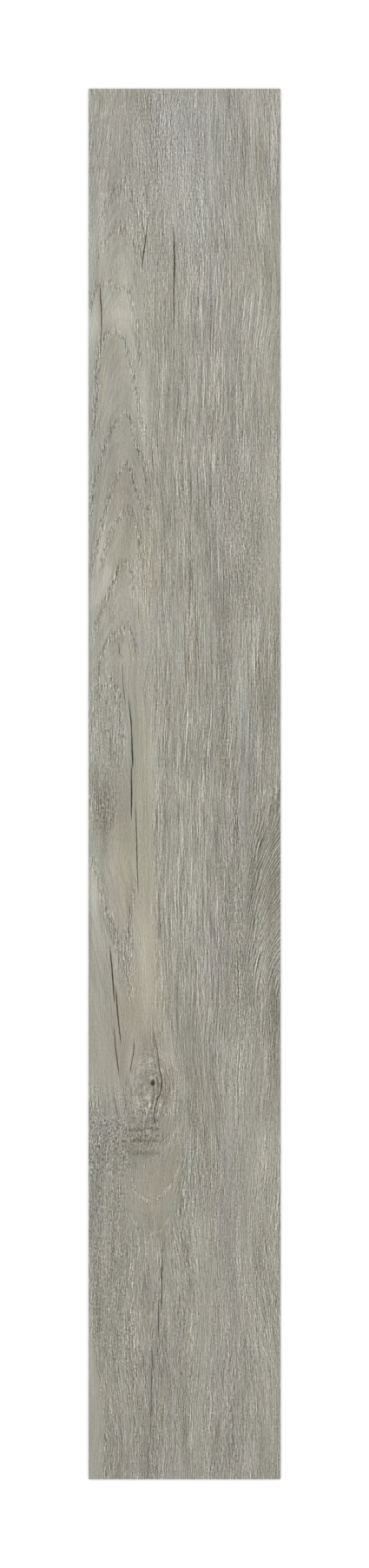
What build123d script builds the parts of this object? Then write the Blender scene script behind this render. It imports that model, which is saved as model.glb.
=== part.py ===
from build123d import *
import os

# Vinyl floor plank: one flexible sheet of filled vinyl, pressed and sawn to a
# strip, with square butt edges and no tongue or groove.
# Millimetres. Origin: centre of the underside, which lies on the floor.
# +X across the width, +Y along the length (the grain), +Z up out of the face.

LENGTH = 1219.2      # end to end, along the grain (48 in)
WIDTH = 168.3        # long edge to long edge (6 5/8 in)
THICKNESS = 2.5      # underside to wood-look face
ARRIS = 0.25         # the sawn edges of the face are only eased, not bevelled

plank = Box(WIDTH, LENGTH, THICKNESS, align=(Align.CENTER, Align.CENTER, Align.MIN))

# Ease the four edges around the wood-look face; the underside keeps sharp edges.
face_edges = plank.faces().sort_by(Axis.Z)[-1].edges()
plank = chamfer(face_edges, ARRIS)

os.makedirs("parts", exist_ok=True)
export_step(plank, "parts/plank.step")
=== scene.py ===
import math

import bpy
import numpy as np
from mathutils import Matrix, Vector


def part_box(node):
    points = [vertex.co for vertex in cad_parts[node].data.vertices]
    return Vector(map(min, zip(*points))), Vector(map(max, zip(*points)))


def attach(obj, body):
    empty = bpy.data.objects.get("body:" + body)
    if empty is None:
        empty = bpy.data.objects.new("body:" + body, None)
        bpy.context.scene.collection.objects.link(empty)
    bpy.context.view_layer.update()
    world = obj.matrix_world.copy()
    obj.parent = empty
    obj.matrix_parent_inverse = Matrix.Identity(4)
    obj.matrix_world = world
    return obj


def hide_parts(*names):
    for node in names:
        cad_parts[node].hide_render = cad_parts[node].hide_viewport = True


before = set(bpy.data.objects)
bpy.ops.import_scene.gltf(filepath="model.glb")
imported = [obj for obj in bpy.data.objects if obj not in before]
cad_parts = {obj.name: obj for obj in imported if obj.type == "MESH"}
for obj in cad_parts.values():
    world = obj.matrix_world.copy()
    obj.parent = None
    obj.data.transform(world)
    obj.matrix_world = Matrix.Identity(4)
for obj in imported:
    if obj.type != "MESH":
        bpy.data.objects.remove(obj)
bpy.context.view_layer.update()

# ---------------------------------------------------------------- the frame
# The plank lies face up. +X runs across it, +Y along the grain, +Z up.
lo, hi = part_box("plank")
WIDTH, LENGTH, THICK = hi.x - lo.x, hi.y - lo.y, hi.z - lo.z
ARRIS = 0.00025                    # eased edge around the face

# Features are placed by photograph pixels (425 x 1804). The plank covers
# 1600 of them lengthwise, centred on (212.5, 902).
PX = LENGTH / 1600.0
MM = 1000.0 * PX                   # one photograph pixel in millimetres
CX, CY = 212.5, 902.0


# ------------------------------------------------- shapes in photograph pixels
def blob(X, Y, cx, cy, sx, sy, lean=0.0):
    """Soft patch; lean is how far it moves right for each pixel up."""
    dx = X - cx - lean * (cy - Y)
    return np.exp(-((dx / sx) ** 2) - ((Y - cy) / sy) ** 2)


def distance(X, Y, points):
    """Distance to a line through points."""
    best = np.full(X.shape, 1e9)
    for (ax, ay), (bx, by) in zip(points[:-1], points[1:]):
        ux, uy = bx - ax, by - ay
        t = np.clip(((X - ax) * ux + (Y - ay) * uy) / (ux * ux + uy * uy), 0, 1)
        best = np.minimum(best, (X - ax - t * ux) ** 2 + (Y - ay - t * uy) ** 2)
    return np.sqrt(best)


def band(X, Y, half, points):
    """Soft band along a line."""
    return np.exp(-((distance(X, Y, points) / half) ** 2))


def soft(a, b, v):
    t = np.clip((v - a) / (b - a), 0, 1)
    return t * t * (3 - 2 * t)


def patch(X, Y, cx, cy, sx, sy, lean=0.0):
    """Patch with a definite edge."""
    dx = X - cx - lean * (cy - Y)
    return np.exp(-(((dx / sx) ** 2 + ((Y - cy) / sy) ** 2) ** 2))


def window(X, Y, x0, x1, y0, y1, ex=6.0, ey=20.0):
    """1 inside the rectangle, falling off softly at its sides."""
    return (soft(x0 - ex, x0 + ex, X) * (1 - soft(x1 - ex, x1 + ex, X))
            * soft(y0 - ey, y0 + ey, Y) * (1 - soft(y1 - ey, y1 + ey, Y)))


# Drying cracks: layer, depth, [(x, y, half width)]. Two that pass close by each
# other are on different layers.
CRACKS = [
    (0, 0.95, [(171.6, 246, .2), (170.4, 256, .5), (169, 266, .6), (167.5, 276, 1.0), (166.2, 286, 1.1), (165, 295, 1.0), (164, 303, .7), (163.3, 309, .2)]),
    (1, 0.45, [(171.4, 208, .2), (170.6, 216, .7), (170.1, 228, .5), (169, 240, .5), (168, 250, .2)]),
    (0, 1.00, [(200.0, 258, .2), (200.1, 268, .6), (200.3, 278, 1.1), (200.8, 292, 1.3), (201.3, 306, 1.3), (200.9, 318, 1.1), (200.3, 330, .9), (200.2, 345, .75), (200.3, 360, .65), (200.4, 374, .5), (200.4, 382, .2)]),
    (0, 0.55, [(200.8, 399, .2), (200.6, 403, .8), (200.2, 410, .7), (200.0, 416, .2)]),
    (0, 0.95, [(115.2, 328, .2), (115.5, 334, .8), (116.1, 345, 1.1), (116.8, 357, 1.1), (117, 368, 1.0), (116.8, 380, .6), (116.4, 391, .6), (116.1, 399, .2)]),
    (0, 0.60, [(137, 738, .2), (137.1, 744, .9), (137.4, 754, 1.0), (137.8, 759, .5), (138, 771, .2)]),
    (1, 0.45, [(155, 735, .2), (155.1, 740, .9), (155.3, 748, .8), (155.4, 754, .2)]),
    (1, 0.45, [(159.4, 692, .2), (159.5, 698, .8), (159.8, 708, .8), (159.9, 714, .2)]),
    (0, 0.70, [(141, 763, .2), (141.2, 770, .8), (141.5, 782, .8), (142.4, 793, .8), (143.4, 801, .9), (144.3, 809, .2)]),
    (1, 1.00, [(148.3, 803, .2), (148.8, 811, .8), (150, 821, 1.0), (151.1, 831, 1.3), (151.6, 840, .7), (151.8, 849, 1.1), (152.2, 862, 1.3), (152.7, 874, 1.5), (152.8, 880, 1.0), (152.8, 884, .2)]),
    (0, 1.00, [(151.3, 881, .2), (151.3, 886, .9), (151.3, 897, 1.2), (151.6, 911, 1.5), (151.5, 924, 1.4), (151.3, 935, .9), (151.0, 944, .2)]),
    (1, 0.85, [(156.0, 924, .2), (156.4, 934, .6), (156.9, 948, .8), (157.3, 962, .9), (157.6, 978, 1.0), (157.9, 992, .9), (158.3, 1006, .8), (158.8, 1017, .8), (159.3, 1027, .2)]),
    (0, 1.00, [(126.6, 1090, .2), (127.4, 1099, 1.0), (128.6, 1111, 1.2), (129.8, 1125, 1.2), (130.8, 1139, 1.1), (131.4, 1148, .8), (131.7, 1154, .2)]),
    (1, 1.00, [(133.0, 1137, .2), (133.8, 1146, 1.0), (134.7, 1156, 1.2), (135.8, 1169, 1.2), (137.1, 1182, 1.0), (138.4, 1193, .8), (139.4, 1203, .2)]),
    (0, 0.85, [(131.3, 1181, .2), (131.9, 1190, .8), (132.8, 1202, .9), (134.2, 1214, 1.1), (135.6, 1225, 1.1), (136.7, 1233, .6), (137.4, 1240, .2)]),
    (1, 0.75, [(154.1, 1195, .2), (154.4, 1202, .9), (153.9, 1211, .9), (152.3, 1219, .9), (150.8, 1227, .9), (149.7, 1234, .2)]),
    (0, 0.60, [(131.4, 1258, .2), (132.2, 1265, .8), (133.7, 1274, .8), (135.6, 1282, .5), (137, 1290, .2)]),
    (0, 0.90, [(176.4, 1186, .2), (177.0, 1190, .5), (178.4, 1197, .5), (179.4, 1203, .5), (181.6, 1211, .55), (182.6, 1220, .6), (183.2, 1228, .7), (185.4, 1236, .9), (186.4, 1245, 1.0), (185.9, 1253, 1.0), (183.8, 1260, .9), (180.6, 1267, .9), (178.6, 1275, .9), (177.0, 1283, 1.0), (178.3, 1289, .6), (179.7, 1294, .7), (180.5, 1300, .2)]),
    (1, 0.40, [(176.4, 1249, .6), (176.6, 1254, .8), (177.2, 1259, .6), (177.4, 1263, .2)]),
    (0, 0.85, [(187.0, 1438, .2), (186.9, 1447, .6), (186.6, 1459, 1.1), (186.4, 1472, 1.2), (186.3, 1486, 1.0), (186.0, 1498, .9), (185.8, 1506, .2)]),
    (1, 0.75, [(182.9, 1497, .2), (182.7, 1504, .8), (182.5, 1516, .9), (182.5, 1529, .8), (182.4, 1538, .2)]),
    (0, 0.60, [(174.4, 1547, .2), (174.9, 1554, .9), (175.7, 1563, 1.1), (175.6, 1571, .8), (174.6, 1582, .9), (174.3, 1597, .9), (174.1, 1615, .8), (173.8, 1632, .7), (173.6, 1650, .2)]),
    (0, 0.55, [(206.9, 1486, .2), (206.8, 1492, .8), (206.8, 1500, .8), (206.9, 1506, .2)]),
    (1, 0.60, [(164.4, 1556, .2), (164.8, 1561, .9), (165.3, 1569, .9), (165.6, 1576, .2)]),
    (0, 0.45, [(318, 1491, .2), (318, 1495, 1.2), (317.8, 1500, 1.1), (317.6, 1505, .2)]),
]

# Pore bands of the cathedral figure: half width, weight, line.
ARCHES = [
    (3.6, .70, [(118, 252), (123, 234), (132, 219), (143, 207), (149, 213), (153, 228), (157, 245), (160, 262), (162, 285), (161, 315)]),
    (3.2, .75, [(111, 300), (117, 286), (124, 274), (131, 266), (140, 262), (149, 266), (153, 276), (157, 291), (157, 310), (156, 332)]),
    (4.6, .95, [(104, 356), (107, 337), (113, 327), (122, 325), (131, 328), (140, 330), (147, 331), (151, 345), (154, 366), (158, 392), (161, 420)]),
    (4.0, 1.0, [(106, 500), (109, 478), (111, 455), (112, 430), (113, 410), (117, 392), (124, 382), (132, 381), (140, 385), (146, 398), (150, 412), (153, 428), (156, 445), (159, 462), (162, 480), (166, 500)]),
    (3.4, 1.0, [(103, 600), (105, 575), (108, 552), (113, 538), (118, 528), (121, 512), (127, 497), (134, 484), (142, 476), (150, 479), (153, 495), (157, 512), (163, 525), (167, 540), (169, 560), (171, 585)]),
    (3.4, 1.0, [(104, 665), (107, 645), (112, 627), (117, 612), (119, 595), (124, 580), (128, 565), (132, 552), (138, 541), (145, 533), (151, 542), (155, 556), (160, 572), (166, 587), (170, 605)]),
    (3.6, 1.0, [(116, 655), (120, 637), (126, 616), (132, 603), (139, 593), (147, 586), (154, 593), (158, 605), (161, 625), (164, 650)]),
    (3.6, 1.0, [(106, 735), (110, 722), (116, 705), (122, 691), (128, 676), (133, 663), (138, 652), (144, 645), (150, 652), (152, 668), (153, 688)]),
    (4.0, .80, [(110, 800), (112, 780), (116, 756), (122, 740), (130, 731), (139, 727), (148, 718), (154, 733), (157, 760)]),
    (4.6, .80, [(107, 842), (110, 815), (115, 792), (123, 781), (131, 785), (136, 800), (139, 822), (141, 850), (138, 885)]),
    (5.0, .70, [(108, 870), (116, 850), (124, 838), (128, 856), (129, 880)]),
    (5.2, .85, [(107, 985), (110, 1005), (117, 1030), (125, 1052), (131, 1072), (138, 1092), (144, 1112), (149, 1130), (152, 1146)]),
    (3.0, .62, [(156, 1012), (153, 1035), (150, 1055), (150, 1078), (152, 1100), (154, 1124)]),
    (2.4, .45, [(150, 1352), (157, 1371), (165, 1380), (174, 1384), (183, 1378), (191, 1370), (198, 1358), (204, 1343), (210, 1325), (214, 1305)]),
    (5.0, .30, [(140, 1382), (149, 1402), (157, 1414), (168, 1425), (180, 1430), (192, 1422), (201, 1402), (209, 1378), (214, 1352)]),
]

# Tone of the print: (x, y, half width, half height, lean, lighter or darker).
TONES = [
    # top of the plank
    (104, 112, 5, 30, 0, 7), (208, 225, 13, 60, 0, 8), (228, 255, 8, 34, 0, 8), (244, 262, 3, 40, -.1, -4),
    (262, 118, 8, 50, 0, -6), (168, 122, 9, 34, 0, -5), (166, 185, 6, 36, 0, -4), (132, 226, 12, 22, 0, -5),
    (292, 122, 12, 38, 0, 6), (118, 150, 6, 50, .1, 2), (190, 150, 7, 50, 0, 3), (318, 180, 6, 70, 0, -3),
    # cathedral figure, upper left
    (143, 316, 8, 26, 0, 14), (140, 361, 14, 19, 0, 19), (123, 352, 6, 18, 0, 8), (104, 374, 9, 26, 0, 21),
    (135, 250, 12, 14, 0, 2), (124, 464, 8, 20, .1, 7), (160, 455, 9, 66, -.05, 6), (152, 360, 7, 60, 0, 4),
    (103, 430, 5, 30, 0, 4), (168, 330, 9, 34, 0, 5), (300, 372, 9, 42, .05, 7), (312, 300, 8, 70, 0, -4),
    (208, 450, 18, 56, 0, -5), (268, 400, 12, 44, 0, -4), (240, 360, 8, 40, 0, -3), (108, 508, 9, 26, 0, 4),
    (119, 628, 7, 30, .13, 6), (110, 668, 7, 34, .13, 8), (125, 672, 7, 24, .13, 7), (103, 690, 6, 30, 0, 6), (103, 300, 5, 120, 0, 4), (104, 630, 7, 90, 0, 2.5),
    (141, 652, 8, 13, 0, -9), (150, 592, 9, 26, 0, -8), (146, 625, 10, 16, 0, -4), (160, 676, 18, 46, 0, 9),
    (148, 756, 8, 24, 0, 12), (130, 735, 10, 14, 0, -5), (136, 560, 12, 16, 0, -5), (152, 535, 12, 20, 0, -5),
    (173, 700, 7, 60, 0, 4), (124, 590, 5, 24, .1, 2),
    # middle and right
    (193, 603, 9, 34, 0, -6), (316, 560, 12, 40, 0, 7), (312, 655, 12, 46, 0, 9), (297, 603, 8, 40, .05, -6),
    (306, 812, 12, 36, 0, -11), (280, 770, 8, 90, .08, 6), (190, 812, 13, 36, 0, -5), (218, 620, 7, 70, 0, 2),
    (172, 860, 7, 60, 0, 9), (104, 892, 8, 16, 0, -10), (120, 922, 17, 34, 0, -11), (106, 1010, 5, 44, 0, 9),
    (112, 1050, 8, 50, -.08, 9), (137, 992, 17, 34, 0, 8), (170, 970, 12, 110, 0, 6), (164, 1086, 9, 46, 0, 11),
    (166, 1140, 8, 34, 0, 6), (184, 1112, 9, 34, 0, 7), (255, 968, 8, 24, 0, -8), (200, 960, 9, 50, 0, -2),
    (321, 960, 10, 60, 0, -10), (317, 1160, 10, 38, 0, -19), (322, 1240, 8, 40, 0, -5), (308, 1010, 14, 50, 0, -7),
    (303, 1085, 7, 50, 0, 4), (133, 1185, 9, 60, -.07, -5), (272, 1195, 13, 56, 0, 5), (214, 1200, 22, 66, 0, -4),
    (197, 1208, 8, 22, 0, 8), (178, 1248, 13, 26, 0, -14), (172, 1242, 9, 14, 0, -4), (198, 1350, 8, 40, 0, 2), (176, 1200, 10, 18, 0, -7), (110, 1225, 12, 60, 0, 4),
    (130, 1316, 30, 30, 0, -13), (114, 1310, 12, 26, 0, 3), (168, 1199, 6, 16, 0, -5), (166, 1308, 20, 24, 0, -13), (192, 1294, 8, 12, 0, -3), (272, 1270, 8, 60, 0, 5),
    (246, 1040, 10, 70, 0, -2), (206, 930, 8, 60, 0, 3), (232, 1260, 18, 50, -.1, -3),
    # lower part
    (158, 1370, 18, 36, 0, 4), (163, 1436, 10, 22, 0, 5), (263, 1420, 7, 44, 0, -6), (224, 1452, 12, 30, 0, 6),
    (112, 1480, 9, 66, 0, -8), (106, 1610, 9, 100, 0, 3), (293, 1520, 13, 46, 0, 7), (312, 1600, 10, 90, 0, 4),
    (232, 1620, 12, 36, 0, 4), (132, 1672, 12, 44, 0, -8), (150, 1610, 8, 40, 0, -4), (266, 1674, 14, 30, 0, -8),
    (288, 1672, 7, 34, 0, 6), (302, 1330, 9, 70, 0, 5), (318, 1456, 7, 50, 0, 7), (108, 1345, 9, 50, 0, -8),
    (196, 1480, 7, 60, 0, -3), (210, 1600, 8, 60, 0, -4), (250, 1500, 12, 60, 0, 2),
    # finer ones, top
    (106, 130, 5, 40, 0, 3), (160, 110, 10, 25, 0, -8), (183, 145, 6, 30, 0, -8), (117, 225, 5, 45, .15, 6), (150, 235, 12, 40, 0, 4),
    (247, 108, 6, 30, 0, 6), (247, 212, 6, 50, 0, 6), (228, 150, 6, 40, 0, 2), (208, 150, 6, 30, 0, -4), (316, 150, 6, 40, 0, 5),
    (272, 150, 10, 50, 0, -4), (112, 270, 12, 35, 0, 7), (127, 300, 10, 25, 0, 5), (160, 262, 7, 30, 0, 4), (219, 290, 5, 40, 0, 3),
    (275, 290, 18, 50, 0, -3), (306, 322, 14, 40, 0, -4), (110, 372, 7, 25, 0, 7), (142, 380, 8, 25, -.2, 7), (272, 385, 8, 50, 0, -4),
    (243, 365, 6, 25, 0, -4), (150, 430, 6, 40, -.1, 4), (168, 465, 6, 40, -.15, 5), (262, 475, 12, 40, 0, -7), (190, 455, 12, 50, 0, -4),
    (308, 420, 7, 40, 0, 2), (300, 482, 8, 30, 0, -3),
    # finer ones, above the middle
    (148, 520, 8, 30, 0, 5), (113, 540, 7, 35, .1, -5), (110, 590, 4, 30, .2, -7), (157, 608, 5, 30, 0, -3), (105, 645, 5, 40, .15, -7), (178, 680, 5, 30, 0, -4),
    (124, 655, 4, 35, .35, 6), (138, 695, 8, 30, 0, 6), (121, 725, 5, 45, 0, 6), (103, 695, 3, 30, 0, -9), (140, 732, 4, 20, 0, -7),
    (126, 770, 5, 30, 0, 6), (233, 530, 9, 35, .1, 2), (104, 560, 4, 40, 0, 6), (296, 700, 7, 80, 0, 6), (146, 830, 5, 50, 0, 5), (295, 870, 5, 30, 0, 7), (212, 560, 8, 60, 0, 4), (262, 520, 6, 35, 0, -6), (301, 565, 5, 25, 0, 7),
    (225, 620, 8, 60, 0, -3), (258, 690, 8, 40, 0, -4), (205, 690, 7, 50, 0, 3), (314, 640, 10, 80, 0, 4), (234, 715, 7, 35, 0, 4),
    (262, 785, 7, 25, .1, 4), (289, 880, 9, 35, 0, -5), (319, 878, 6, 30, 0, 8),
    # finer ones, below the middle
    (119, 922, 9, 20, .1, -12), (119, 951, 9, 9, .1, -12), (134, 925, 9, 30, .1, -5), (120, 975, 5, 18, 0, -9), (140, 945, 32, 55, 0, -4), (110, 912, 6, 20, 0, -5), (150, 1000, 4, 60, 0, -5),
    (182, 1160, 4, 40, -.1, -6), (170, 1215, 6, 30, -.2, -5), (260, 1000, 4, 30, 0, 7), (270, 960, 5, 25, 0, -5), (282, 950, 5, 25, 0, -5),
    (308, 925, 8, 25, 0, 8), (305, 1150, 5, 30, 0, 5), (315, 1236, 8, 24, 0, -11), (322, 1200, 4, 20, 0, 5), (285, 1190, 5, 30, 0, 5), (105, 935, 4, 35, 0, 5), (152, 1040, 4, 30, .1, -8), (108, 1040, 4, 40, -.15, 6),
    (103, 1080, 3, 25, 0, -8), (178, 1075, 6, 45, 0, 5), (158, 1110, 5, 30, -.2, -4), (178, 1150, 7, 40, -.15, 6), (190, 1150, 4, 40, 0, -4),
    (190, 1200, 10, 25, -.2, 5), (208, 940, 5, 50, 0, 6), (184, 950, 6, 30, 0, -6), (316, 1030, 8, 40, 0, -5), (309, 975, 4, 35, .15, 6),
    (310, 1160, 6, 40, 0, -5), (220, 1215, 14, 40, 0, -5), (222, 1285, 14, 20, 0, -8), (160, 1245, 10, 12, 0, -5), (195, 1245, 5, 20, 0, -5),
    (268, 1260, 8, 40, 0, 2), (305, 1280, 10, 20, 0, -6),
    # finer ones, bottom
    (125, 1340, 5, 30, 0, 7), (132, 1395, 6, 60, 0, -5), (172, 1412, 16, 14, 0, -6), (225, 1400, 14, 40, 0, 5), (232, 1310, 8, 12, 0, -7),
    (268, 1400, 6, 70, 0, 4), (256, 1450, 4, 50, .15, -5), (290, 1370, 8, 60, 0, 6), (310, 1310, 8, 25, 0, 5), (314, 1410, 4, 40, 0, 5),
    (313, 1480, 8, 40, 0, -5), (104, 1410, 5, 30, 0, -7), (104, 1462, 4, 30, 0, 7), (110, 1525, 6, 30, 0, -4), (193, 1465, 5, 40, 0, 8),
    (168, 1490, 5, 40, 0, -7), (160, 1530, 8, 20, 0, 6), (178, 1540, 6, 20, 0, 8), (191, 1580, 7, 70, 0, -8), (137, 1600, 5, 50, -.15, 4),
    (168, 1670, 12, 30, 0, -7), (235, 1540, 9, 60, 0, 6), (215, 1530, 8, 40, 0, 4), (225, 1640, 8, 40, 0, 4), (285, 1640, 8, 60, 0, 3),
    (282, 1682, 6, 20, 0, 8), (300, 1560, 10, 50, 0, 5), (318, 1570, 6, 40, 0, 4), (257, 1640, 5, 50, .15, 4), (132, 1690, 6, 20, 0, -4),
    (240, 1692, 8, 20, 0, 4), (104, 1340, 4, 30, 0, 7), (311, 1340, 12, 50, 0, 5), (104, 1530, 4, 50, 0, 7), (133, 1582, 5, 30, -.1, -7),
    (144, 1602, 4, 40, -.1, 4), (190, 1430, 8, 15, 0, -5), (215, 1432, 10, 15, 0, -4), (290, 1640, 5, 25, 0, -6), (292, 1455, 14, 60, 0, 3),
]
# Long dark or light bands that bend: half width, amount, line.
TONE_BANDS = [
    (8, -10, [(233, 560), (235, 610), (241, 650), (250, 685), (256, 740), (260, 780)]),
    (7, -8, [(258, 800), (257, 850), (257, 900)]),
    (9, -12, [(314, 925), (302, 960), (293, 1005), (285, 1050), (280, 1100), (279, 1150)]),
    (7, -7, [(268, 990), (262, 1050), (258, 1110), (260, 1190)]),
    (5, -9, [(120, 1045), (128, 1070), (138, 1095), (146, 1118)]),
    (6, -9, [(184, 1520), (178, 1548), (173, 1580), (175, 1620), (171, 1660), (168, 1702)]),
    (7, 5, [(282, 720), (276, 780), (270, 850)]),
    (6, 6, [(155, 420), (160, 470), (168, 520)]),
    (4, 8, [(119, 612), (115, 632), (110, 655)]),
    (5, 10, [(126, 655), (120, 672), (113, 692)]),
    (3, 7, [(108, 668), (105, 700)]),
    (4, -5, [(140, 648), (134, 662), (128, 680), (121, 700)]),
    (5, 5, [(112, 690), (118, 655), (122, 630)]),
]
# Colour casts: (x, y, half width, half height, lean, red-green, blue-green), in
# sRGB steps from the plank's own greige.
CASTS = [
    (222, 160, 55, 110, 0, -1.4, 3.3), (250, 190, 20, 60, 0, -.6, .6), (200, 130, 24, 40, 0, .2, 2.0), (228, 272, 22, 40, 0, -.9, 1.2),
    (142, 130, 16, 26, 0, 1.2, 2.0), (115, 192, 7, 36, 0, 1.8, 2.4), (155, 210, 14, 44, 0, .8, 2.2), (282, 146, 10, 60, 0, 1.2, 2.2),
    (314, 160, 9, 90, 0, .9, 2.0), (294, 224, 12, 34, 0, -.6, -1.4), (300, 310, 14, 40, 0, -.4, -1.0),
    (160, 350, 46, 46, 0, -.6, -1.6), (134, 402, 8, 26, 0, 1.6, -2.0), (180, 440, 24, 36, 0, -.4, -.8),
    (244, 360, 17, 90, 0, .7, 2.4), (268, 410, 8, 26, 0, -1.3, 1.6), (266, 575, 9, 90, .05, .8, 2.2), (231, 510, 10, 44, 0, .8, 2.0),
    (246, 565, 6, 26, 0, -.9, 1.8), (248, 665, 8, 32, 0, -.8, 1.8), (258, 715, 12, 30, .3, .6, 1.6), (284, 525, 6, 28, 0, -.8, 1.6),
    (134, 560, 12, 30, 0, 1.3, -1.2), (146, 626, 16, 30, 0, .7, -4.0), (176, 640, 12, 60, 0, .9, -2.6), (134, 690, 12, 50, 0, .8, -1.6),
    (142, 756, 14, 22, 0, .2, -2.8), (220, 752, 8, 42, 0, 2.6, -2.0), (204, 805, 7, 26, .25, 2.0, -.6), (220, 812, 8, 22, 0, -1.5, -.8),
    (282, 818, 9, 42, 0, -3.0, 1.6), (303, 850, 8, 24, 0, 1.4, .4), (284, 870, 9, 56, 0, -.4, 2.4), (271, 950, 8, 70, .12, .8, 2.4),
    (248, 1085, 14, 60, 0, .8, 2.0), (300, 1000, 12, 30, 0, -.3, -.6), (313, 1052, 9, 32, 0, 2.2, -2.0), (310, 1245, 9, 26, 0, 2.2, .2),
    (165, 850, 9, 60, 0, 1.6, -3.2), (168, 980, 13, 110, 0, .8, -4.6), (142, 985, 20, 34, 0, .8, -5.0), (170, 1110, 18, 90, 0, .9, -3.8),
    (150, 1160, 12, 36, 0, .2, -3.4), (148, 1075, 7, 30, 0, 1.6, 2.8), (134, 1195, 9, 60, 0, 1.6, -.6), (184, 1200, 16, 70, 0, .8, -2.4),
    (128, 925, 16, 36, 0, 1.3, -1.6), (168, 1257, 11, 16, 0, 2.4, -.4), (235, 1278, 10, 36, 0, 2.2, -1.8), (208, 1265, 9, 26, 0, -1.8, -1.0),
    (222, 1338, 7, 34, 0, -1.4, -.4), (203, 1320, 9, 34, 0, 1.6, -1.4), (175, 1390, 22, 36, 0, 1.2, -2.8), (154, 1372, 8, 18, 0, -1.0, -1.4),
    (114, 1300, 16, 34, 0, -.4, 4.4), (106, 1370, 8, 60, 0, -.2, 4.0), (140, 1292, 12, 16, 0, .8, 2.8), (258, 1400, 13, 50, 0, .8, 2.0),
    (268, 1535, 10, 80, .05, .9, 2.2), (260, 1610, 18, 30, 0, .8, 1.8), (200, 1570, 8, 60, 0, .8, 1.8), (172, 1585, 9, 36, .1, .7, 2.0),
    (171, 1474, 10, 24, 0, .7, 2.0), (162, 1540, 8, 34, .1, 2.0, -.6), (180, 1690, 28, 30, 0, .8, 3.0), (272, 1690, 20, 34, 0, .8, 2.6),
    (134, 1648, 8, 26, 0, .7, 1.6), (222, 1440, 8, 46, 0, -.6, -1.2), (114, 1520, 14, 40, 0, -.8, 1.6), (118, 1600, 12, 110, 0, .1, -1.4),
    (102, 1110, 11, 340, 0, -2.8, -2.6), (102, 620, 10, 220, 0, -2.4, .8), (102, 260, 10, 220, 0, -2.6, 3.0), (102, 1620, 10, 90, 0, -2.2, .2),
    (212, 960, 22, 110, 0, -.5, -.8), (323, 400, 5, 110, 0, -1.6, .3), (322, 850, 4, 60, 0, -.6, 2.0),
    (103, 230, 3, 180, 0, -2.0, -.6), (130, 190, 8, 50, 0, -1.3, .8), (165, 185, 6, 30, 0, -1.3, 0), (248, 340, 5, 26, 0, -2.6, .8),
    (215, 216, 5, 34, .2, 2.2, -.2), (120, 425, 6, 36, 0, -.4, -3.0), (105, 430, 5, 26, 0, 0, 3.5), (104, 376, 6, 16, 0, -1.2, -3.5),
    (315, 430, 8, 40, 0, .2, -2.4), (125, 540, 5, 36, 0, -2.0, .6), (133, 612, 6, 60, 0, 1.4, -.6), (150, 562, 9, 24, 0, 1.3, .4),
    (165, 660, 8, 56, 0, 1.0, -2.6), (112, 642, 8, 36, 0, .4, -2.6), (180, 800, 7, 22, 0, 0, -3.6), (302, 790, 8, 40, 0, .2, -2.6),
    (312, 700, 8, 70, 0, .2, -2.4), (195, 822, 6, 26, .2, 1.4, 0), (212, 830, 8, 22, 0, -1.2, -.4), (280, 897, 5, 20, 0, -2.0, 0),
    (143, 1030, 6, 36, 0, 1.4, -4.6), (135, 1025, 8, 60, 0, 1.0, -.4), (155, 1160, 30, 110, 0, .9, -.3), (107, 1250, 10, 60, 0, -.2, -3.4),
    (130, 1120, 6, 26, 0, .8, -2.2), (142, 1220, 8, 30, 0, .6, -2.6), (250, 1110, 12, 44, 0, 0, 1.6), (318, 1215, 7, 26, 0, .4, -3.6),
    (202, 1250, 14, 30, 0, 2.4, -.6), (216, 1272, 5, 22, 0, -2.4, -.4), (175, 1372, 20, 40, 0, 1.2, -.4), (195, 1350, 24, 20, 0, .4, -2.4),
    (216, 1382, 4, 30, 0, 0, 2.6), (262, 1322, 8, 42, 0, 0, 2.4), (308, 1405, 6, 80, 0, .2, -2.4), (104, 1535, 6, 42, 0, -.4, -4.0),
    (178, 1590, 5, 22, 0, 0, 2.4), (216, 1300, 8, 20, 0, 2.0, 0), (221, 1345, 5, 20, 0, -1.8, 0), (232, 1345, 4, 30, 0, 2.0, 0),
]
# How the grain leans: (x, y, half width, half height, pixels right for each up).
LEANS = [
    (308, 372, 20, 60, .13), (118, 1200, 26, 110, -.09), (118, 620, 18, 150, .13), (285, 230, 34, 150, -.05),
    (163, 520, 16, 110, -.08), (240, 1265, 26, 90, -.11), (306, 1540, 36, 160, -.15), (232, 1590, 22, 130, .09),
    (120, 180, 24, 100, .18), (300, 1350, 20, 60, .06), (255, 860, 14, 90, .05), (196, 1350, 16, 70, .22),
    (137, 1610, 24, 120, -.12), (165, 150, 16, 80, -.08),
]


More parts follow.
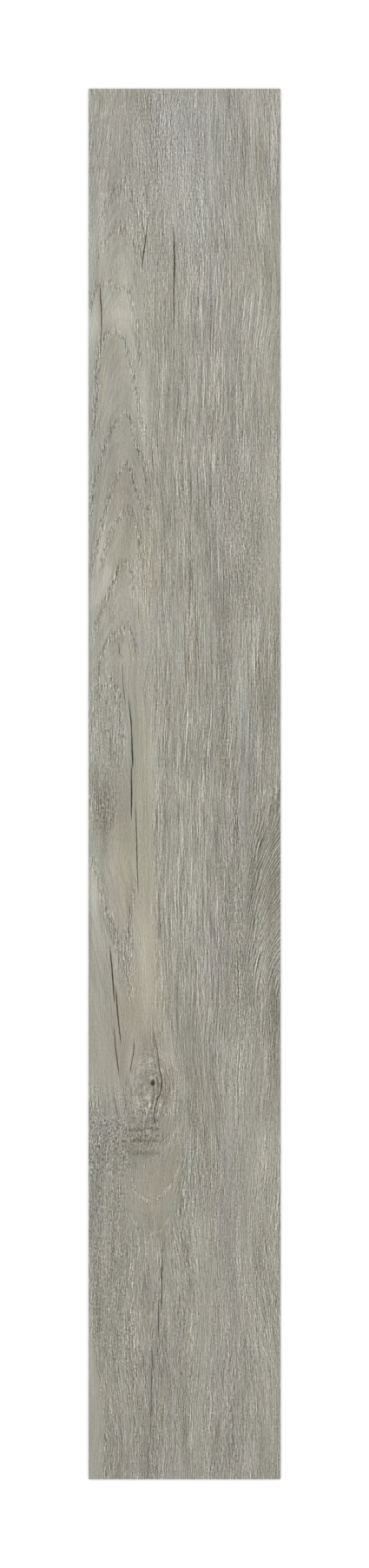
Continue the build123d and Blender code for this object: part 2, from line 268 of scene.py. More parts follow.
def fields(X, Y):
    """Everything that steers the print, at photograph pixels X, Y."""
    f = {}
    # The left third is the cathedral figure: smooth summer wood with pore bands.
    edge = 172 + 6 * np.sin(Y / 61.0) + 4 * np.sin(Y / 23.0 + 1)
    left = 1 - soft(-16, 16, X - edge)
    calm = left * soft(215, 330, Y) * (1 - soft(1225, 1275, Y))
    arch = np.zeros_like(X)
    for half, weight, line in ARCHES:
        arch = np.maximum(arch, weight * band(X, Y, half, line))
    # Cream flecks gather where an arch closes.
    apex = np.zeros_like(X)
    for half, weight, line in ARCHES[:11]:
        x, y = min(line, key=lambda at: at[1])
        apex = np.maximum(apex, weight * blob(X, Y, x, y + 3, 9, 11))
    for half, weight, line in ARCHES[11:13]:
        apex = np.maximum(apex, .7 * band(X, Y, half, line))
    f["apex"] = apex
    # Two livelier places inside the calm figure.
    stirred = np.maximum.reduce([blob(X, Y, 121, 928, 20, 34), .8 * blob(X, Y, 145, 1095, 10, 30),
                                 .55 * window(X, Y, 100, 140, 785, 900, 6, 14)])
    strip = window(X, Y, 160, 177, 800, 1185, 5, 30)
    # A plain pale strip at the foot of the left edge widens downwards.
    foot_strip = (1 - soft(-1.6, 1.6, X - 105 - 15 * soft(1518, 1640, Y) + 2.5 * soft(1650, 1702, Y))) * soft(1508, 1540, Y)
    smooth = np.maximum.reduce([
        .92 * calm, strip * .90, .55 * window(X, Y, 98, 158, 90, 330, 8, 30),
        .9 * window(X, Y, 122, 148, 236, 254, 5, 6), .9 * window(X, Y, 124, 147, 272, 296, 5, 7),
        .9 * window(X, Y, 119, 148, 340, 374, 5, 5), 1.0 * window(X, Y, 104, 121, 960, 1085, 4, 20),
        .95 * window(X, Y, 122, 148, 955, 1050, 6, 14), .9 * window(X, Y, 184, 200, 1284, 1306, 3, 5),
        .75 * window(X, Y, 140, 209, 1312, 1420, 8, 12), .95 * foot_strip,
        .6 * window(X, Y, 300, 323, 600, 700, 8, 16), .5 * window(X, Y, 302, 323, 230, 500, 6, 30),
        .5 * window(X, Y, 146, 158, 112, 180, 4, 10), .5 * window(X, Y, 300, 318, 500, 600, 6, 20),
        .6 * window(X, Y, 186, 200, 1190, 1218, 4, 6),
    ])
    smooth = np.clip(smooth * (1 - .9 * arch) * (1 - .95 * stirred), 0, 1)
    mottle = np.clip(
        window(X, Y, 100, 150, 1283, 1350, 5, 6) + .55 * window(X, Y, 100, 146, 1345, 1560, 10, 30)
        + .7 * window(X, Y, 150, 184, 1284, 1326, 3, 4) + .3 * blob(X, Y, 170, 1246, 16, 22)
        + .2 * window(X, Y, 104, 136, 780, 900, 5, 16) + .5 * blob(X, Y, 121, 928, 18, 34)
        + .6 * blob(X, Y, 298, 650, 14, 26) + .45 * window(X, Y, 262, 282, 990, 1090, 8, 30), 0, 1)
    slant = window(X, Y, 284, 400, 930, 1165, 10, 35)
    f["fan"] = slant
    # Evenly combed grain, most of all in the fan.
    slant = np.maximum.reduce([
        slant, .6 * window(X, Y, 262, 290, 900, 1080, 8, 40), .75 * window(X, Y, 236, 323, 110, 520, 10, 40), .55 * window(X, Y, 262, 323, 700, 960, 12, 40),
        .45 * window(X, Y, 182, 262, 640, 1230, 12, 50), .40 * window(X, Y, 205, 323, 1400, 1702, 14, 50),
        .35 * window(X, Y, 196, 245, 250, 640, 12, 50), .4 * window(X, Y, 186, 323, 1200, 1400, 12, 20)])
    slant = slant * (.75 + .25 * np.sin(X / 9.0 + 1.3 * np.sin(Y / 80.0)))
    lively = np.clip(
        .5 * blob(X, Y, 268, 128, 12, 40) + .35 * blob(X, Y, 242, 625, 14, 80) + .3 * blob(X, Y, 252, 780, 14, 60)
        + .45 * blob(X, Y, 305, 1080, 40, 140) + .30 * window(X, Y, 185, 260, 420, 1180, 10, 60)
        + .9 * blob(X, Y, 121, 928, 18, 34), 0, 1)
    f["arch"], f["smooth"], f["mottle"], f["slant"], f["lively"] = arch, smooth, mottle, slant, lively

    # Growth rings: nested arches up the left side and a V below them. A count of
    # rings, how far along one, how plain.
    dx = X - (143 - 18 * soft(735, 800, Y)) + 1.5 * np.sin(Y / 19.0)
    bend = np.where(dx < 0, .085, .125)
    count_ = (Y - bend * dx * dx) / 9.0
    weight = window(X, Y, 104, 172, 225, 900, 4, 35) * (.4 + .6 * soft(3, 16, np.abs(dx)))
    vee = window(X, Y, 104, 158, 985, 1160, 4, 20)
    count_ = np.where(Y > 940, (X - .29 * (Y - 1140)) / 2.6, count_)
    weight = np.where(Y > 940, .9 * vee, weight)
    f["rings"] = (count_, X / 12.0, weight)
    f["long"] = np.clip(
        window(X, Y, 176, 258, 330, 1230, 12, 60) + .8 * window(X, Y, 236, 323, 110, 520, 10, 40)
        + .7 * window(X, Y, 262, 323, 680, 960, 10, 40) + .6 * window(X, Y, 186, 323, 1180, 1330, 12, 30)
        + .3 * window(X, Y, 180, 323, 1330, 1702, 12, 40), 0, 1)

    # The board is lighter at its top and down its left side, darker to the right
    # of the middle and at the foot.
    tone = (4.5 * (1 - soft(420, 620, Y))
            + 4.5 * (1 - soft(165, 215, X)) * soft(520, 620, Y) * (1 - soft(1240, 1300, Y))
            - 3.5 * soft(225, 275, X) * soft(560, 700, Y) * (1 - soft(1180, 1260, Y))
            - 3.8 * soft(1290, 1350, Y))
    tone += 7.0 * foot_strip
    for cx, cy, sx, sy, lean, amount in TONES:
        tone += amount * blob(X, Y, cx, cy, sx, sy, lean)
    for half, amount, line in TONE_BANDS:
        tone += amount * band(X, Y, half, line)
    f["tone"] = tone
    f["knot"] = patch(X, Y, 171, 1246, 21, 31)

    cr, cb = np.zeros_like(X), np.zeros_like(X)
    for cx, cy, sx, sy, lean, red, blue in CASTS:
        b = blob(X, Y, cx, cy, sx, sy, lean)
        cr += red * b
        cb += blue * b
    cr += 6.0 * blob(X, Y, 116, 357, 4, 30) + 3.0 * blob(X, Y, 153, 1215, 4, 20)
    f["cr"], f["cb"] = cr, cb

    shift = (1.6 * np.sin(Y / 65.0 + X / 140.0 + 1.0) + .7 * np.sin(Y / 27.5 - X / 48.0 + 2.2)
             + .20 * np.sin(Y / 10.7 + X / 13.0))
    for cx, cy, sx, sy, lean in LEANS:
        shift += lean * (cy - Y) * blob(X, Y, cx, cy, sx, sy)
    dx = X - 170.0
    shift += 15.0 * np.tanh(dx / 18.0) * np.exp(-((dx / 46.0) ** 2) - ((Y - 1246.0) / 38.0) ** 2)
    f["u"], f["v"] = X - shift, Y
    return f


# By the right edge the grain curves like a fan: the further right, the more its
# lines lean. One fine coordinate across the grain serves the near part, another
# the outer part, and each takes over while the other shows.
def fan(X, Y, u):
    """The two fine coordinates across the grain, and the weight of the second."""
    rows = np.linspace(860, 1260, 401)
    rise = .25 + .75 * soft(915, 975, rows) * (1 - soft(1085, 1150, rows))
    run = np.interp(Y, rows, np.concatenate([[0], np.cumsum(rise)[:-1]]))
    swept = run - 122.0 * np.exp(-.041 * (X - 290.0))

    def lean(x):
        return .20 * math.exp(.041 * (x - 290.0))

    second = np.where((X > 303) & (Y > 1130), u, lean(291) * swept) + 700.0   # straight again below the outer part
    first = np.where((X > 290) & (Y > 920) & (Y < 1165), lean(313) * swept + 1500.0, u)
    outer = soft(298, 306, X) * soft(925, 945, Y) * (1 - soft(1140, 1160, Y))
    weight = soft(276, 284, X) * (1 - outer) * soft(895, 915, Y) * (1 - soft(1170, 1190, Y))
    return first, second, weight


def crack_fields(X, Y):
    """For each layer: signed distance across, half width (mm) and depth."""
    out = []
    for layer in (0, 1):
        side = np.full(X.shape, 60.0)
        half = np.zeros_like(X)
        depth = np.zeros_like(X)
        for lay, deep, line in CRACKS:
            if lay != layer:
                continue
            x, y, w = (np.array(v, float) for v in zip(*line))
            sel = (Y > y[0] - 10) & (Y < y[-1] + 10)
            d = X - np.interp(Y, y, x)
            sel &= np.abs(d) < 9
            side[sel] = d[sel]
            half[sel] = np.interp(Y, y, w, left=0, right=0)[sel]
            depth[sel] = deep
        out.append((side * MM, .62 * half * MM, depth))
    return out


def limb_fields(X, Y):
    """Left and right limbs of the arches: signed distance across (mm) and weight."""
    out = []
    for part in (0, 1):
        side = np.full(X.shape, 60.0)
        weight = np.zeros_like(X)
        for half, strong, line in ARCHES[:11]:
            top = min(range(len(line)), key=lambda i: line[i][1])
            pts = line[:top + 1][::-1] if part == 0 else line[top:]
            if len(pts) < 2:
                continue
            x, y = (np.array(v, float) for v in zip(*pts))
            y = np.maximum.accumulate(y + np.arange(len(y)) * .01)
            d = X - np.interp(Y, y, x)
            ends = soft(y[0] - 2, y[0] + 6, Y) * (1 - soft(y[-1] - 16, y[-1], Y))
            sel = (np.abs(d) < 5) & (ends > 0) & (np.abs(d) < np.abs(side))
            side[sel] = d[sel]
            weight[sel] = (strong * ends)[sel]
        out.append((side * MM, weight))
    return out


# --------------------------------------------------------------- the plank mesh
NX, NY = 277, 341
xs = np.linspace(-WIDTH / 2 + ARRIS, WIDTH / 2 - ARRIS, NX)
ys = np.linspace(-LENGTH / 2 + ARRIS, LENGTH / 2 - ARRIS, NY)
gx, gy = np.meshgrid(xs, ys)                    # rows run along X
X, Y = CX + gx / PX, CY - gy / PX
F = fields(X, Y)
C = crack_fields(X, Y)
LIMBS = limb_fields(X, Y)

# Pressed relief, all of it below the face's highest level: ticks along the grain,
# deeper where the pores are, the cracks, the knot and the chatter marks.
rng = np.random.default_rng(7)


def streaks(across, along):
    """Seeded smooth noise on the grid, sizes in grid steps."""
    noise = rng.standard_normal((NY, NX))
    for axis, size in ((0, along), (1, across)):
        n = int(math.ceil(3 * size))
        k = np.exp(-.5 * (np.arange(-n, n + 1) / size) ** 2)
        k /= math.sqrt((k * k).sum())
        noise = np.apply_along_axis(np.convolve, axis, noise, k, "same")
    return noise


fine, longer = streaks(.7, .9), streaks(.9, 3.5)
ticks = np.clip(.6 * fine + .8 * longer - .2, 0, 2.2)
grain = .000018 * ticks * (1 - .75 * F["smooth"]) * (1 + .7 * F["arch"] + .5 * F["lively"])
relief = .000012 * (1 - F["smooth"]) * (.5 + .5 * np.sin(F["u"] / 1.9)) + grain
for side, half, depth in C:
    groove = depth * np.exp(-((side / np.maximum(half * 1.2, .42)) ** 2)) * (half > 0.05)
    relief += .00013 * groove
relief += .00001 * F["knot"]
relief += .00004 * window(X, Y, 150, 184, 1280, 1330, 4, 3) * (1 - np.cos((Y - 1283.5) * 2 * math.pi / 14.0)) / 2
relief = np.clip(relief - relief.min(), 0, .00021)

count = NX * NY
top = np.stack([gx, gy, THICK - relief], 2).reshape(-1, 3)
grid = np.arange(count).reshape(NY, NX)
ring = np.concatenate([grid[0, :-1], grid[:-1, -1], grid[-1, :0:-1], grid[:0:-1, 0]])   # seen from above: anticlockwise
n = len(ring)
outer = top[ring].copy()
outer[:, 0] *= (WIDTH / 2) / (WIDTH / 2 - ARRIS)
outer[:, 1] *= (LENGTH / 2) / (LENGTH / 2 - ARRIS)
upper, lower = outer.copy(), outer.copy()
upper[:, 2] = THICK - ARRIS
lower[:, 2] = 0.0
verts = [top, upper, lower]
i_up, i_low = count, count + n
faces, mats, uvs = [], [], []
FACE, EDGE, BACK = 0, 1, 2

# The bake map: the face in three lengths side by side, then edges and underside.
PW, PGAP, V0, V1 = .292, .008, .006, .994


def uv_face(x, y, panel):
    span = LENGTH / 3
    u = .006 + panel * (PW + PGAP) + PW * (x + WIDTH / 2) / WIDTH
    return u, V0 + (V1 - V0) * (y + LENGTH / 2 - panel * span) / span


panel_of = np.minimum((np.arange(NY - 1) * 3) // (NY - 1), 2)
q = np.stack([grid[:-1, :-1], grid[:-1, 1:], grid[1:, 1:], grid[1:, :-1]], 2).reshape(-1, 4)
faces.append(q)
mats.append(np.full(len(q), FACE))
pan = np.repeat(panel_of, NX - 1)[:, None]
# A third of the rows isn't exactly a third of the length, so each panel is scaled to its rows.
row_y = ys[[0, (NY - 1) // 3 + ((NY - 1) % 3 > 0), 2 * (NY - 1) // 3 + ((2 * (NY - 1)) % 3 > 0), NY - 1]]


def uv_top(x, y, panel):
    a, b = row_y[panel] - ARRIS, row_y[panel + 1] + ARRIS
    u = .006 + panel * (PW + PGAP) + PW * (x + WIDTH / 2) / WIDTH
    return np.stack([u, V0 + (V1 - V0) * (y - a) / (b - a)], -1)


uvs.append(uv_top(top[q, 0], top[q, 1], pan))

nxt = np.roll(np.arange(n), -1)
k = np.arange(n)
q = np.stack([i_up + k, i_up + nxt, ring[nxt], ring], 1)          # arris
everything = np.concatenate(verts)
faces.append(q)
mats.append(np.full(n, FACE))
mid_row = np.clip(np.searchsorted(ys, everything[q].mean(1)[:, 1]) - 1, 0, NY - 2)
uvs.append(uv_top(everything[q, 0], everything[q, 1], panel_of[mid_row][:, None]))

q = np.stack([i_low + k, i_low + nxt, i_up + nxt, i_up + k], 1)    # cut edges
faces.append(q)
mats.append(np.full(n, EDGE))
p = everything[q]
mid = p.mean(1)
ends = np.abs(np.abs(mid[:, 1]) - LENGTH / 2) < 1e-6
across = p[..., 2] / THICK * .006
turned = np.where(ends, mid[:, 1] < 0, mid[:, 0] > 0)           # so that no strip is mirrored
across = np.where(turned[:, None], .006 - across, across)
u = np.where(mid[:, :1] > 0, .908, .917) + across
v = V0 + (V1 - V0) * (p[..., 1] + LENGTH / 2) / LENGTH
ue = .926 + across
ve = np.where(mid[:, 1:2] > 0, .50, .01) + .48 * (p[..., 0] + WIDTH / 2) / WIDTH
uvs.append(np.stack([np.where(ends[:, None], ue, u), np.where(ends[:, None], ve, v)], -1))

# Underside: one strip per row between the long edges, a fan at each end.
left_low = {}
for j, r in enumerate(ring):
    left_low[int(r)] = i_low + j
west = np.array([left_low[int(v)] for v in grid[:, 0]])
east = np.array([left_low[int(v)] for v in grid[:, -1]])
R = 14
q = np.stack([west[R:NY - 1 - R], west[R + 1:NY - R], east[R + 1:NY - R], east[R:NY - 1 - R]], 1)
faces.append(q)
mats.append(np.full(len(q), BACK))


def uv_back(x, y):
    return np.stack([.940 + .054 * (WIDTH / 2 - x) / WIDTH, V0 + (V1 - V0) * (y + LENGTH / 2) / LENGTH], -1)


uvs.append(uv_back(everything[q, 0], everything[q, 1]))
south = [left_low[int(v)] for v in grid[0, :]]
north = [left_low[int(v)] for v in grid[-1, :]]
hub = len(everything)
hubs = np.array([[0, (ys[0] + ys[R]) / 2, 0], [0, (ys[-1] + ys[-1 - R]) / 2, 0]])
everything = np.concatenate([everything, hubs])
loop_s = list(west[R:0:-1]) + south + list(east[1:R + 1])          # west side down, end, east side up
loop_n = list(east[NY - 1 - R:NY - 1]) + north[::-1] + list(west[NY - 2:NY - 2 - R:-1])
tris = []
for h, loop in ((hub, loop_s), (hub + 1, loop_n)):
    for a, b in zip(loop, loop[1:] + loop[:1]):
        tris.append((h, b, a))
tris = np.array(tris)
faces_t = tris

mesh = bpy.data.meshes.new("plank_embossed")
quads = np.concatenate(faces)
loops = np.concatenate([quads.reshape(-1), faces_t.reshape(-1)]).astype(np.int32)
totals = np.concatenate([np.full(len(quads), 4), np.full(len(faces_t), 3)]).astype(np.int32)
starts = np.concatenate([[0], np.cumsum(totals)[:-1]]).astype(np.int32)
mesh.vertices.add(len(everything))
mesh.vertices.foreach_set("co", everything.astype(np.float32).reshape(-1))
mesh.loops.add(len(loops))
mesh.loops.foreach_set("vertex_index", loops)
mesh.polygons.add(len(totals))
mesh.polygons.foreach_set("loop_start", starts)
mesh.polygons.foreach_set("loop_total", totals)
index = np.concatenate(mats + [np.full(len(faces_t), BACK)]).astype(np.int32)
mesh.polygons.foreach_set("material_index", index)
mesh.polygons.foreach_set("use_smooth", np.concatenate([index[:len(quads)] == FACE, np.zeros(len(faces_t), bool)]))
uv = np.concatenate([np.concatenate([a.reshape(-1, 2) for a in uvs]), uv_back(everything[faces_t, 0], everything[faces_t, 1]).reshape(-1, 2)])
layer = mesh.uv_layers.new(name="OFBake")
layer.data.foreach_set("uv", uv.astype(np.float32).reshape(-1))
mesh.update(calc_edges=True)
mesh.validate()

# The lines between face, arris and cut edge stay sharp.
on_ring = np.zeros(len(everything), int)
on_ring[ring] = 1
on_ring[i_up:i_up + n] = 2
on_ring[i_low:i_low + n] = 3
ev = np.zeros(len(mesh.edges) * 2, np.int32)
mesh.edges.foreach_get("vertices", ev)
ev = ev.reshape(-1, 2)
a, b = on_ring[ev[:, 0]], on_ring[ev[:, 1]]
sharp = (a == b) & (a > 0)
attr = mesh.attributes.new("sharp_edge", "BOOLEAN", "EDGE")
attr.data.foreach_set("value", sharp)


def point_field(name, a, b, c):
    """A steering field for the material, from the grid to every vertex."""
    data = np.zeros((len(everything), 3), np.float32)
    flat = np.stack([np.asarray(v, float).reshape(-1) for v in (a, b, c)], 1)
    data[:count] = flat
    data[i_up:i_up + n] = flat[ring]
    data[i_low:i_low + n] = flat[ring]
    layer = mesh.attributes.new(name, "FLOAT_VECTOR", "POINT")
    layer.data.foreach_set("vector", data.reshape(-1))


fine_a, fine_b, turn = fan(X, Y, F["u"])
point_field("grain", F["u"] * MM, F["v"] * MM, F["long"])
point_field("fine", fine_a * MM, fine_b * MM, turn)
point_field("zone_a", F["smooth"], F["arch"], F["mottle"])
point_field("zone_b", F["slant"], F["lively"], F["fan"])
point_field("rings", *F["rings"])
point_field("cast", F["tone"], F["cr"], F["cb"])
point_field("crack_a", *C[0])
point_field("crack_b", *C[1])
point_field("limb_a", *LIMBS[0], F["apex"])
point_field("limb_b", *LIMBS[1], F["knot"])

plank = bpy.data.objects.new("plank_embossed", mesh)
bpy.context.scene.collection.objects.link(plank)


# ------------------------------------------------------------------- materials
class Tree:
    """Short names for shader nodes."""

    def __init__(self, name):
        self.mat = bpy.data.materials.new(name)
        self.mat.use_nodes = True
        self.nt = self.mat.node_tree
        self.nt.nodes.clear()

    def node(self, kind, **props):
        made = self.nt.nodes.new(kind)
        for key, value in props.items():
            setattr(made, key, value)
        return made

    def put(self, socket, value):
        if isinstance(value, bpy.types.NodeSocket):
            self.nt.links.new(value, socket)
        else:
            socket.default_value = value

    def math(self, op, a, b=0.0, c=None, clamp=False):
        m = self.node("ShaderNodeMath", operation=op, use_clamp=clamp)
        self.put(m.inputs[0], a)
        self.put(m.inputs[1], b)
        if c is not None:
            self.put(m.inputs[2], c)
        return m.outputs[0]

    def add(self, *terms):
        total = terms[0]
        for t in terms[1:]:
            total = self.math("ADD", total, t)
        return total

    def mul(self, *terms):
        total = terms[0]
        for t in terms[1:]:
            total = self.math("MULTIPLY", total, t)
        return total

    def sub(self, a, b):
        return self.math("SUBTRACT", a, b)

    def vec(self, op, a, b=(0, 0, 0), scale=None):
        m = self.node("ShaderNodeVectorMath", operation=op)
        self.put(m.inputs[0], a)
        if scale is None:
            self.put(m.inputs[1], b)
        else:
            self.put(m.inputs["Scale"], scale)
        return m.outputs[0]

    def field(self, name):
        return self.node("ShaderNodeAttribute", attribute_name=name).outputs["Vector"]

    def split(self, vector):
        s = self.node("ShaderNodeSeparateXYZ")
        self.put(s.inputs[0], vector)
        return s.outputs

    def join(self, x, y, z):
        s = self.node("ShaderNodeCombineXYZ")
        for socket, value in zip(s.inputs, (x, y, z)):
            self.put(socket, value)
        return s.outputs[0]

    def noise(self, coords, across, along, detail=2.0, rough=.5, seed=0.0, shift=0.0):
        """Noise stretched along the grain, cell sizes in millimetres, about -1 to 1."""
        m = self.node("ShaderNodeVectorMath", operation="MULTIPLY_ADD")
        self.put(m.inputs[0], coords)
        m.inputs[1].default_value = (1 / across, 1 / along, 0)
        m.inputs[2].default_value = (seed * 17.31 + shift / across, seed * 5.77, 0)
        t = self.node("ShaderNodeTexNoise", noise_dimensions="2D")
        self.put(t.inputs["Vector"], m.outputs[0])
        t.inputs["Scale"].default_value = 1.0
        t.inputs["Detail"].default_value = detail
        t.inputs["Roughness"].default_value = rough
        return self.mul(self.sub(t.outputs["Fac"], .5), 4.0)

    def step(self, value, low, high, a=0.0, b=1.0):
        m = self.node("ShaderNodeMapRange", interpolation_type="SMOOTHSTEP")
        self.put(m.inputs["Value"], value)
        self.put(m.inputs["From Min"], low)
        self.put(m.inputs["From Max"], high)
        self.put(m.inputs["To Min"], a)
        self.put(m.inputs["To Max"], b)
        return m.outputs["Result"]

    def srgb(self, r, g, b):
        """sRGB steps (0 to 255) to a scene-linear colour."""
        v = self.join(r, g, b)
        v = self.vec("MULTIPLY_ADD", v, (1 / 255 / 1.055,) * 3)
        v.node.inputs[2].default_value = (.055 / 1.055,) * 3
        gamma = self.node("ShaderNodeGamma")
        self.put(gamma.inputs["Color"], v)
        gamma.inputs["Gamma"].default_value = 2.4
        return gamma.outputs[0]

    def surface(self, color, rough, bump=None, strength=.3, distance=.0001, specular=.4):
        out = self.node("ShaderNodeOutputMaterial")
        p = self.node("ShaderNodeBsdfPrincipled")
        self.put(p.inputs["Base Color"], color)
        self.put(p.inputs["Roughness"], rough)
        p.inputs["Specular IOR Level"].default_value = specular
        if bump is not None:
            b = self.node("ShaderNodeBump")
            b.inputs["Strength"].default_value = strength
            b.inputs["Distance"].default_value = distance
            self.put(b.inputs["Height"], bump)
            self.put(p.inputs["Normal"], b.outputs[0])
        self.nt.links.new(p.outputs[0], out.inputs[0])
        return self.mat


# How bright a white surface comes out, and what the sheen of the face adds to it.
LIGHT, SHEEN = 1.198, .030


def printed_face():
    t = Tree("printed_oak_face")
    g = t.field("grain")
    v, long_grain = t.split(g)[1:3]
    ua, ub, turn = t.split(t.field("fine"))[:3]
    smooth, arch, mottle = t.split(t.field("zone_a"))[:3]
    comb, lively, fan_ = t.split(t.field("zone_b"))[:3]
    limb_a, limb_b = t.split(t.field("limb_a")), t.split(t.field("limb_b"))
    apex, knot = limb_a[2], limb_b[2]
    # Photograph pixels, for what is drawn by formula.
    place = t.split(t.node("ShaderNodeTexCoord").outputs["Object"])
    px = t.add(t.mul(place[0], 1 / PX), CX)
    py = t.sub(CY, t.mul(place[1], 1 / PX))
    tone, cr, cb = t.split(t.field("cast"))[:3]
    ring, round_, ring_weight = t.split(t.field("rings"))[:3]
    ga, gb = t.join(ua, v, 0.0), t.join(ub, v, 0.0)

    # Smooth summer wood has ragged borders, drawn out along the grain.
    ragged = t.mul(t.noise(g, 1.6, 9, 1.0, .6, 21), .28)
    smooth = t.step(t.add(smooth, ragged), .25, .75)
    rough = t.math("SUBTRACT", 1.0, smooth)
    plain = t.math("SUBTRACT", 1.0, mottle)
    patchy = t.math("MAXIMUM", t.add(1.0, t.mul(t.noise(g, 12, 150, 1.0, .5, 22), .35)), .4)
    # Near the foot, plain islands lie between the strokes.
    islands = t.step(t.noise(g, 3.6, 26, 1.0, .5, 53), -.5, .6, -.48, .40)
    islands = t.mul(islands, t.step(px, 108, 116), t.step(px, 170, 215, 1.0, .45), t.step(py, 1390, 1450))
    level = t.mul(t.add(.30, t.mul(rough, .75)), patchy, t.add(1.0, islands), t.add(1.0, t.mul(lively, .45)), t.add(.45, t.mul(plain, .55)),
                  t.step(py, 1350, 1430, 1.0, .89))
    short_level = t.mul(level, t.sub(1.25, t.mul(long_grain, .5)))
    fine_level = t.mul(short_level, t.sub(1.0, t.mul(fan_, .35)))
    long_level = t.mul(level, t.add(.75, t.mul(long_grain, .5)))

    # Grain lines: ever longer ones laid over each other. Dashes and ticks are print strokes with painted light and
    # shade: each stroke has a dark twin set 0.6 mm to the same side, like a pressed ridge lit from one side.
    def lines(c, u, seed):
        crisp = t.step(t.noise(c, .95, 26, 0.0, .5, seed + 3), -.5, .5, -1.0, 1.0)
        # Stroke minus its own copy shifted 0.6 mm across: pale print stroke plus painted shade beside it
        dash_and_shade = t.sub(t.noise(c, 1.0, 5.5, 0.0, .5, seed + 1), t.noise(c, 1.0, 5.5, 0.0, .5, seed + 1, .6))
        tick_and_shade = t.sub(t.noise(c, 1.0, 14, 0.0, .5, seed + 2), t.noise(c, 1.0, 14, 0.0, .5, seed + 2, .6))
        # Combed grain: pale ribs about 3 px apart.
        sway = t.noise(c, 5, 26, 1.0, .5, seed + 30)
        rib = t.math("SINE", t.add(t.mul(u, 2.85), t.mul(sway, 1.9)))
        return t.add(
            t.mul(t.noise(c, .9, 1.7, 0.0, .5, seed), 11.5, fine_level),
            t.mul(dash_and_shade, 12.5, fine_level),
            t.mul(tick_and_shade, 8.0, level),
            t.mul(crisp, 7.0, long_level),
            t.mul(rib, comb, t.add(10.0, t.mul(fan_, 16.0)), t.add(1.0, t.mul(sway, .6))),
        )

    both = t.add(t.mul(lines(ga, ua, 1), t.math("SUBTRACT", 1.0, turn)), t.mul(lines(gb, ub, 5), turn))
    both = t.math("DIVIDE", both, t.math("SQRT", t.add(t.mul(turn, turn), t.math("POWER", t.math("SUBTRACT", 1.0, turn), 2.0))))
    # A few long pale and dark lines stand out.
    longest = t.sub(t.step(t.noise(g, .95, 75, 0.0, .5, 9), .40, 1.0), t.step(t.noise(g, .95, 75, 0.0, .5, 27), .45, 1.0))
    wide2 = t.noise(g, 2.5, 32, 1.0, .5, 11)
    wide3 = t.noise(g, 3.0, 120, 0.0, .5, 12)
    soft2 = t.noise(g, 5.5, 45, 1.0, .5, 13)
    soft3 = t.noise(g, 8.5, 170, 1.0, .5, 14)
    # Growth rings, crisp and broken.
    around = t.join(ring, round_, 0.0)
    rings = t.step(t.noise(around, 1.0, 1.0, 1.0, .5, 19), -.5, .5, -1.0, 1.0)

    def bell(value, centre, half):
        """1 at the centre, falling off on both sides."""
        q = t.mul(t.sub(value, centre), 1 / half)
        return t.math("EXPONENT", t.mul(q, q, -1.0))

    def inside(x0, x1, y0, y1, ex, ey):
        return t.mul(t.step(px, x0 - ex, x0 + ex), t.step(px, x1 - ex, x1 + ex, 1.0, 0.0),
                     t.step(py, y0 - ey, y0 + ey), t.step(py, y1 - ey, y1 + ey, 1.0, 0.0))

    # Rings of the knot, its cups below, and the chatter marks between them.
    drift = t.noise(g, 6, 8, 1.0, .5, 41)
    kx, ky = t.sub(px, 171.5), t.mul(t.sub(py, 1246.0), 1 / 1.42)
    radius = t.math("SQRT", t.add(t.mul(kx, kx), t.mul(ky, ky), .01))
    spun = t.add(radius, t.mul(drift, 1.0))
    turned = t.math("ARCTAN2", kx, t.mul(ky, -1.0))
    rim = t.noise(t.join(spun, turned, 0.0), 1.9, .5, 0.0, .5, 42)
    rim = t.mul(t.step(rim, -.35, .35, -1.0, 1.0), t.step(radius, 4, 12, .35, 1.0), t.step(radius, 17, 34, 1.0, 0.0))
    rim_beads = t.mul(bell(spun, 17.6, 1.2), t.step(py, 1228, 1236, 1.0, 0.0))
    cx_ = t.sub(px, 174.0)
    cup = t.add(py, t.mul(cx_, cx_, t.step(cx_, -4, 12, .031, .037)), t.mul(drift, 1.6))
    cups = t.step(t.noise(t.join(cup, px, 0.0), 2.4, 9, 0.0, .5, 43), -.5, .5, -1.0, 1.0)
    near_cup = t.add(t.mul(bell(cup, 1328, 5), .8), bell(cup, 1381, 5), t.mul(bell(cup, 1398, 5), .4), t.mul(bell(cup, 1420, 5), .9))
    cups = t.mul(cups, near_cup, inside(146, 214, 1326, 1426, 6, 6))
    steep = t.add(1.0, t.mul(t.math("ABSOLUTE", cx_), .05))

    def cup_line(level_, half):
        q = t.math("DIVIDE", t.sub(cup, level_), t.mul(steep, half))
        return t.math("EXPONENT", t.mul(q, q, -1.0))

    bead = t.step(t.noise(g, 1.6, 2.4, 0.0, .5, 44), -.15, .45)
    beads = t.mul(t.add(cup_line(1381, 1.2), t.mul(cup_line(1331, 1.1), t.step(px, 182, 190)), t.mul(cup_line(1343, 1.0), t.step(px, 190, 198), .7),
                        t.mul(cup_line(1395, 1.1), t.step(px, 196, 203), .6), t.mul(cup_line(1419, 1.1), .5)),
                  bead, inside(152, 214, 1292, 1425, 3, 4))
    wave = t.add(py, t.mul(drift, 1.3), t.mul(t.noise(g, 1.8, 5, 0.0, .5, 45), .9))
    ripples = t.mul(inside(152, 184, 1278, 1334, 3, 2), t.add(
        t.mul(bell(wave, 1285, 1.2), bead, 16.0), t.mul(bell(wave, 1289, 2.0), -9.0),
        t.mul(bell(wave, 1299.5, 1.3), -15.0), t.mul(bell(wave, 1312, 1.4), -17.0),
        t.mul(bell(wave, 1321.5, 1.4), bead, 17.0), t.mul(bell(wave, 1327, 2.2), -12.0)))
    still = t.sub(1.0, t.mul(t.math("MAXIMUM", knot, inside(151, 186, 1283, 1326, 3, 3)), .55))
    spot_x, spot_y = t.mul(t.sub(px, 176.0), 1 / 2.8), t.mul(t.sub(py, 1245.8), 1 / 4.2)
    spot = t.add(t.mul(spot_x, spot_x), t.mul(spot_y, spot_y), t.mul(drift, .3))
    spot = t.step(spot, .3, 1.5, 1.0, 0.0)
    threads = t.step(t.noise(g, 1.05, 20, 0.0, .5, 49), .42, .95)
